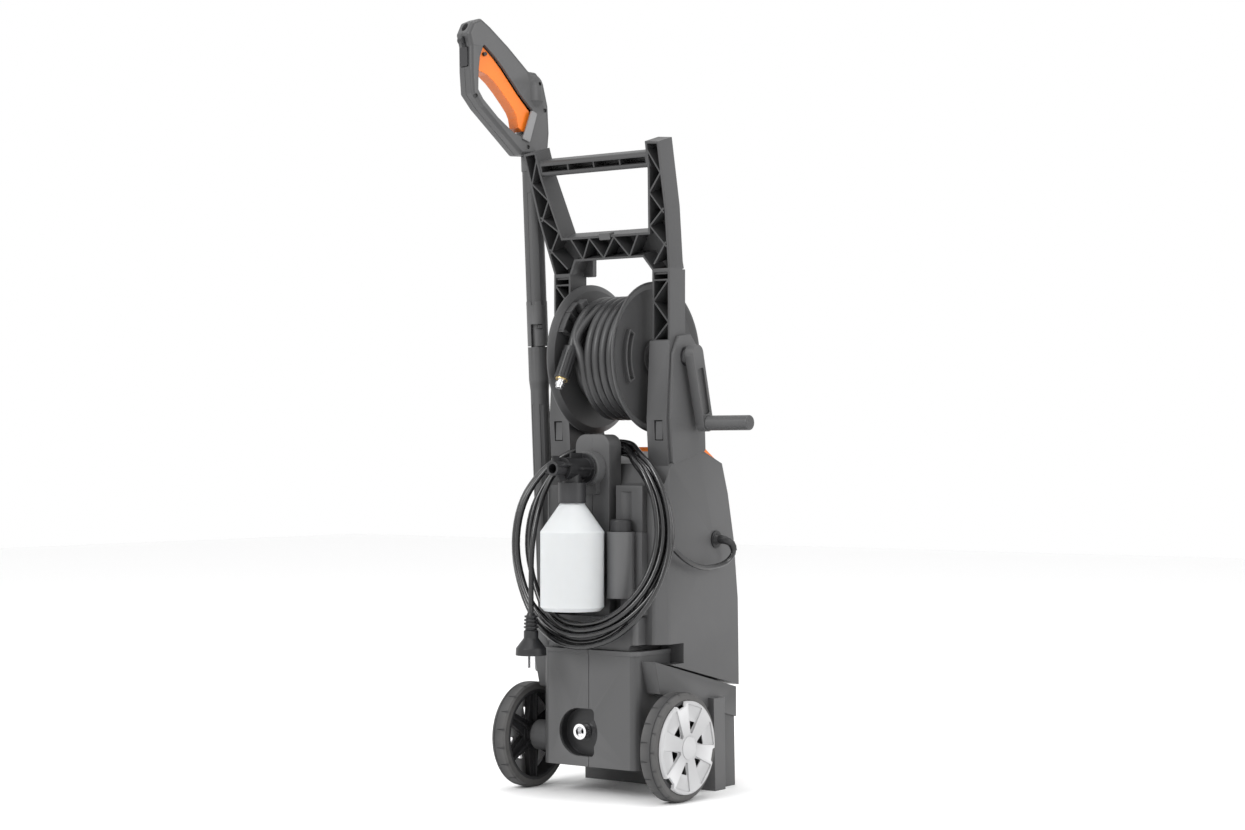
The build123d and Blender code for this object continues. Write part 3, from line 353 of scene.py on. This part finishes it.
# How far each turn strays outward and across at the hook, the crank side, the bottom and the lance side.
STRAY_STEPS = (0, 5, 8, 11)
STRAY = [
    ((-3.4, -4), (1.6, -8), (2, 0), (4, 6)),
    ((3.4, -6.5), (2, -5), (-5, -5), (-9, -6)),
    ((-7.4, 0), (-9, 3), (17, -6), (9, 0)),
    ((0, 1), (0, 4), (-1, 6), (-19, 2)),
    ((7.4, 0), (9, 2), (22, 2), (13, -5)),
    ((-3.4, 6.5), (8, -6), (6, 7), (-3, 8)),
    ((3.4, 6.5), (-6, 9), (-9, 2), (-13, -2)),
]


def stray(turn, step):
    """Outward and across offsets of a turn, eased from one station to the next."""
    count = len(COIL)
    stations = STRAY_STEPS + (count,)
    values = list(STRAY[turn % len(STRAY)]) + [STRAY[(turn + 1) % len(STRAY)][0]]
    for i in range(len(STRAY_STEPS)):
        low, high = stations[i], stations[i + 1]
        if low <= step < high:
            share = (step - low) / (high - low)
            ease = share * share * (3 - 2 * share)
            return [a + (b - a) * ease for a, b in zip(values[i], values[i + 1])]
    return list(values[0])


def coil_point(turn, step):
    """Control point of one turn: the coil's middle line, moved by that turn's stray."""
    place = Vector(COIL[step])
    after = Vector(COIL[(step + 1) % len(COIL)])
    before = Vector(COIL[step - 1])
    along = (after - before).normalized()
    outward = place - Vector((0, place.y, COIL_MIDDLE_Z))
    outward = (outward - along * outward.dot(along)).normalized()
    across = along.cross(outward)
    out_by, across_by = stray(turn, step)
    return place + outward * out_by + across * across_by


def cord_points():
    """The route from the gland, round the coil turn by turn, to the plug."""
    count = len(COIL)
    coiled = [coil_point(index // count, index % count)
              for index in range(JOIN_STEP, TURNS * count + LEAVE_STEP + 1)]
    return [spot(*p) for p in [GLAND] + RUN + coiled + TAIL]


RELIEF_LENGTH = 0.024
RELIEF_ROOT = 0.0056
RELIEF_TAPER = 0.28
RELIEF_RIB = 0.07


def strain_relief(line):
    """Ribbed sleeve that follows the cord out of its gland and tapers off."""
    near = [place for place in line if (place - line[0]).length < RELIEF_LENGTH]
    radii = [RELIEF_ROOT * (1 - RELIEF_TAPER * index / len(near) + RELIEF_RIB * (index % 2))
             for index in range(len(near))]
    relief = tube("strain_relief", "POLY", near, radii, 4)
    relief.data.materials.append(MATS["black"])
    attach(relief, "chassis")
    return relief


def supply_cord():
    cord = nurbs("supply_cord", cord_points(), CORD_R / 1000)
    cord.data.materials.append(MATS["cord"])
    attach(cord, "chassis")
    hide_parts("cord_run", "cord_coil", "cord_tail")
    line = centre_line(cord)
    relief = strain_relief(line)


# ---------------------------------------------------------------- wound hose

HOSE_R = 5.9
PER_TURN = 20
STEP = 2 * math.pi / PER_TURN

# Each layer's first and last place across the drum, its turns and its radius.
LAYERS = [(-39.5, 39.5, 6.5, 56.2), (8.5, -39.0, 4.0, 67.0), (-39.0, 12.0, 4.4, 77.0)]

# The lead from the last layer to the parked connector.
LEAD_RADIUS = 77.0
LEAD_X = 29
LEAD_SHIFT = 17
LEAD_EASE = 5.5
LEAD_STEPS = 101
LEAD_TURNS = 20
LEAD_END = 0.145 - 2 * math.pi * LEAD_TURNS


def reel_point(x, r, angle):
    """A point on the reel: x from the seam in millimetres, radius and angle from the rear."""
    across = SEAM_X + x / 1000
    return Vector((across, REEL_Y + r * math.cos(angle) / 1000, REEL_Z + r * math.sin(angle) / 1000))


def wound_hose():
    """Three layers on the drum, and the lead, whose first turns all lie in the same place."""
    points = []
    angle = 0.0
    for low, high, turns, radius in LAYERS:
        steps = int(turns * PER_TURN)
        for i in range(steps):
            points.append(reel_point(low + (high - low) * i / steps, radius, angle))
            angle -= STEP
    for _ in range(LEAD_STEPS):
        angle -= STEP
        left = (angle - LEAD_END) % (2 * math.pi)
        points.append(reel_point(LEAD_X - LEAD_SHIFT * min(1, left / LEAD_EASE), LEAD_RADIUS, angle))
    points.append(reel_point(LEAD_X, LEAD_RADIUS, LEAD_END + 0.02))
    hose = nurbs("wound_hose", points, HOSE_R / 1000)
    hose.data.materials.append(MATS["hose"])
    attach(hose, "reel")
    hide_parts("hose_winding")
    print("hose length", round(length_of(centre_line(hose)), 3))


# ---------------------------------------------------------------- stage

FLOOR_SIZE = 14
FLOOR_COLOR = (0.95, 0.95, 0.95, 1)


def stage():
    bpy.ops.mesh.primitive_plane_add(size=FLOOR_SIZE, location=(0, 0, 0))
    floor = bpy.context.object
    floor.name = "floor"
    mat = bpy.data.materials.new("floor_white")
    mat.use_nodes = True
    mat.node_tree.nodes["Principled BSDF"].inputs["Base Color"].default_value = FLOOR_COLOR
    mat.node_tree.nodes["Principled BSDF"].inputs["Roughness"].default_value = 0.7
    floor.data.materials.append(mat)
    world = bpy.data.worlds.new("studio")
    world.use_nodes = True
    world.node_tree.nodes["Background"].inputs["Color"].default_value = (1, 1, 1, 1)
    world.node_tree.nodes["Background"].inputs["Strength"].default_value = 1.0
    bpy.context.scene.world = world


def soft_light(name, place, target, size, power):
    data = bpy.data.lights.new(name, "AREA")
    data.shape = "RECTANGLE"
    data.size = size[0]
    data.size_y = size[1]
    data.energy = power
    light = bpy.data.objects.new(name, data)
    light.location = place
    way = Vector(target) - Vector(place)
    light.rotation_euler = way.to_track_quat("-Z", "Y").to_euler()
    bpy.context.scene.collection.objects.link(light)


def lights():
    soft_light("key", (0.4, 2.8, 2.2), (0, 0, 0.5), (1.2, 1.6), 62)
    soft_light("side", (-3.2, -0.2, 1.6), (0, 0, 0.5), (1.2, 1.8), 34)
    soft_light("top", (-0.2, 0.2, 3.4), (0, 0, 0.4), (1.6, 1.6), 30)


add_camera()
paint_nodes()
supply_cord()
wound_hose()
stage()
lights()
bpy.context.scene.view_settings.view_transform = "Standard"
